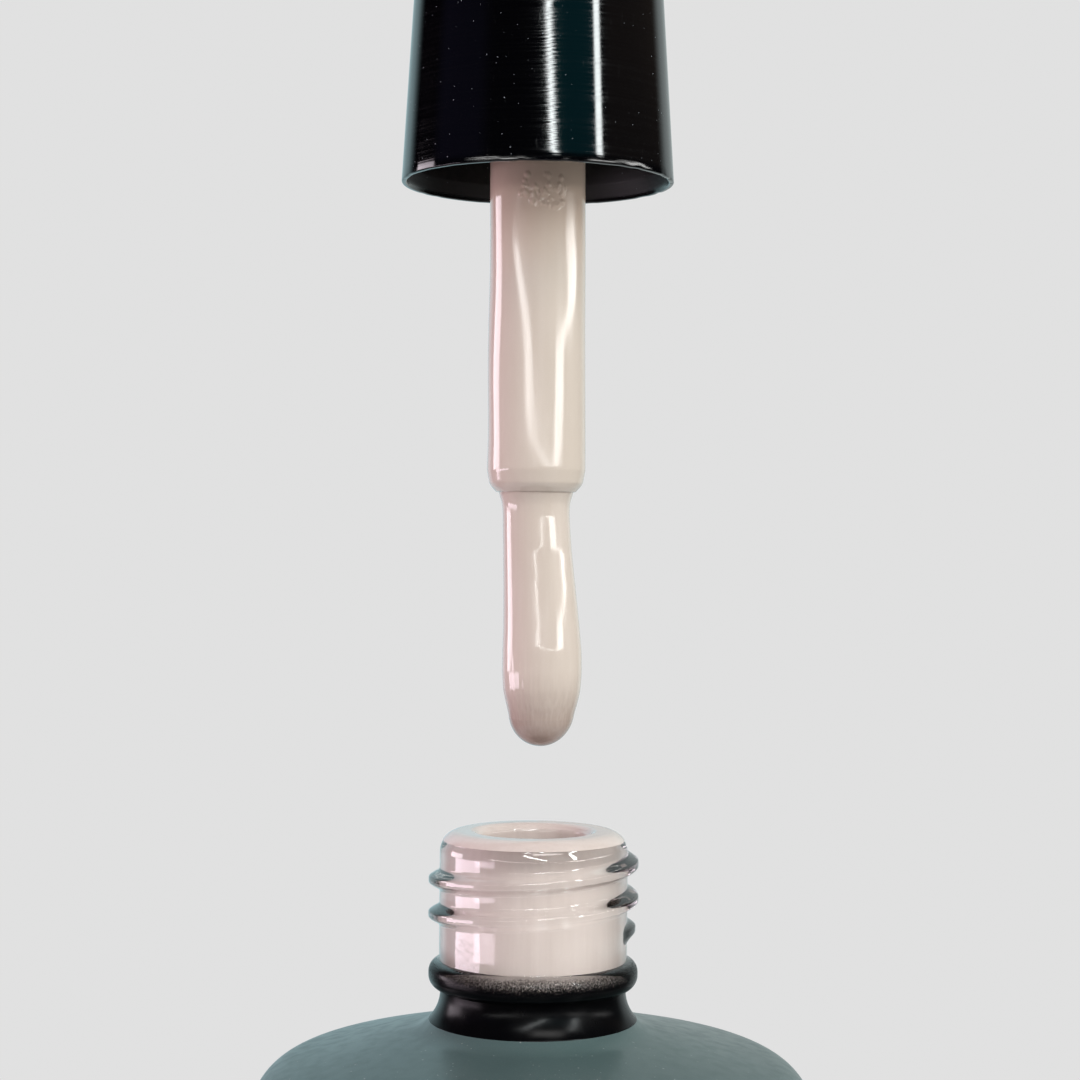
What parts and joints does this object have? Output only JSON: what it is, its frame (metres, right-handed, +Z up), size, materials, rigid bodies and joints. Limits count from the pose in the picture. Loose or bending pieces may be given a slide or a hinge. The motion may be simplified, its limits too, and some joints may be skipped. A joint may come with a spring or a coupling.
{
  "type": "nail polish bottle",
  "caption": "Round lacquered glass nail gel bottle with a clear threaded neck and a tapered screw cap lifted off over it, carrying a gel-coated wand brush.",
  "frame": {"origin": "centre of the circle that the bottle's foot stands on", "axes": "+Z up along the bottle's axis, through the neck and the lifted cap; the thread's centre line crosses +X 1.9 mm under the lip, and +Y is towards the back"},
  "size_m": [0.0346, 0.0346, 0.1317],
  "materials": {
    "clear_glass": "clear, polished",
    "sprayed_lacquer": "dark grey-green lacquer with a soft gloss; a black band on the lower neck fades to a fine overspray over the bead",
    "gel_liquid": "wet gloss",
    "gel_film": "wet gloss, smeared",
    "cap_gloss_black": "polished gloss with hairline scratches",
    "inner_cap_plastic": "plain moulded",
    "seal_rubber": "soft, satin",
    "slip_ring_plastic": "plain moulded",
    "stem_plastic": "plain moulded",
    "staple_brass": "drawn wire",
    "bristle_nylon": "clear nylon filament",
    "gel_coat_stem": "wet gloss, with bubbles",
    "gel_coat_brush": "wet gloss, combed by the bristles"
  },
  "bodies": {
    "bottle": {"bottle_glass": "clear_glass", "bottle_lacquer": "sprayed_lacquer", "gel_polish": "gel_liquid", "neck_gel_film": "gel_film"},
    "gasket": {"gasket": "seal_rubber"},
    "slip_ring": {"slip_ring": "slip_ring_plastic"},
    "cap": {"outer_cap": "cap_gloss_black", "inner_cap": "inner_cap_plastic", "brush_stem": "stem_plastic", "anchor_staple": "staple_brass", "bristles": "bristle_nylon", "stem_gel_coat": "gel_coat_stem", "bristle_gel_coat": "gel_coat_brush"}
  },
  "joints": [
    {"name": "cap_lift", "type": "slide", "parent": "bottle", "child": "gasket", "axis": [0, 0, 1], "range_m": [-0.04767, 0], "deforming": ["gel_polish"]},
    {"name": "thread_rise", "type": "slide", "parent": "gasket", "child": "slip_ring", "axis": [0, 0, 1], "range_m": [-0.00423, 0]},
    {"name": "cap_turn", "type": "hinge", "parent": "slip_ring", "child": "cap", "pos_m": [0, 0, 0.0535], "axis": [0, 0, 1], "range_deg": [-720, 0]}
  ],
  "couplings": [
    {"joint": "thread_rise", "follows": "cap_turn", "m_per_rad": 0.00033688}
  ]
}
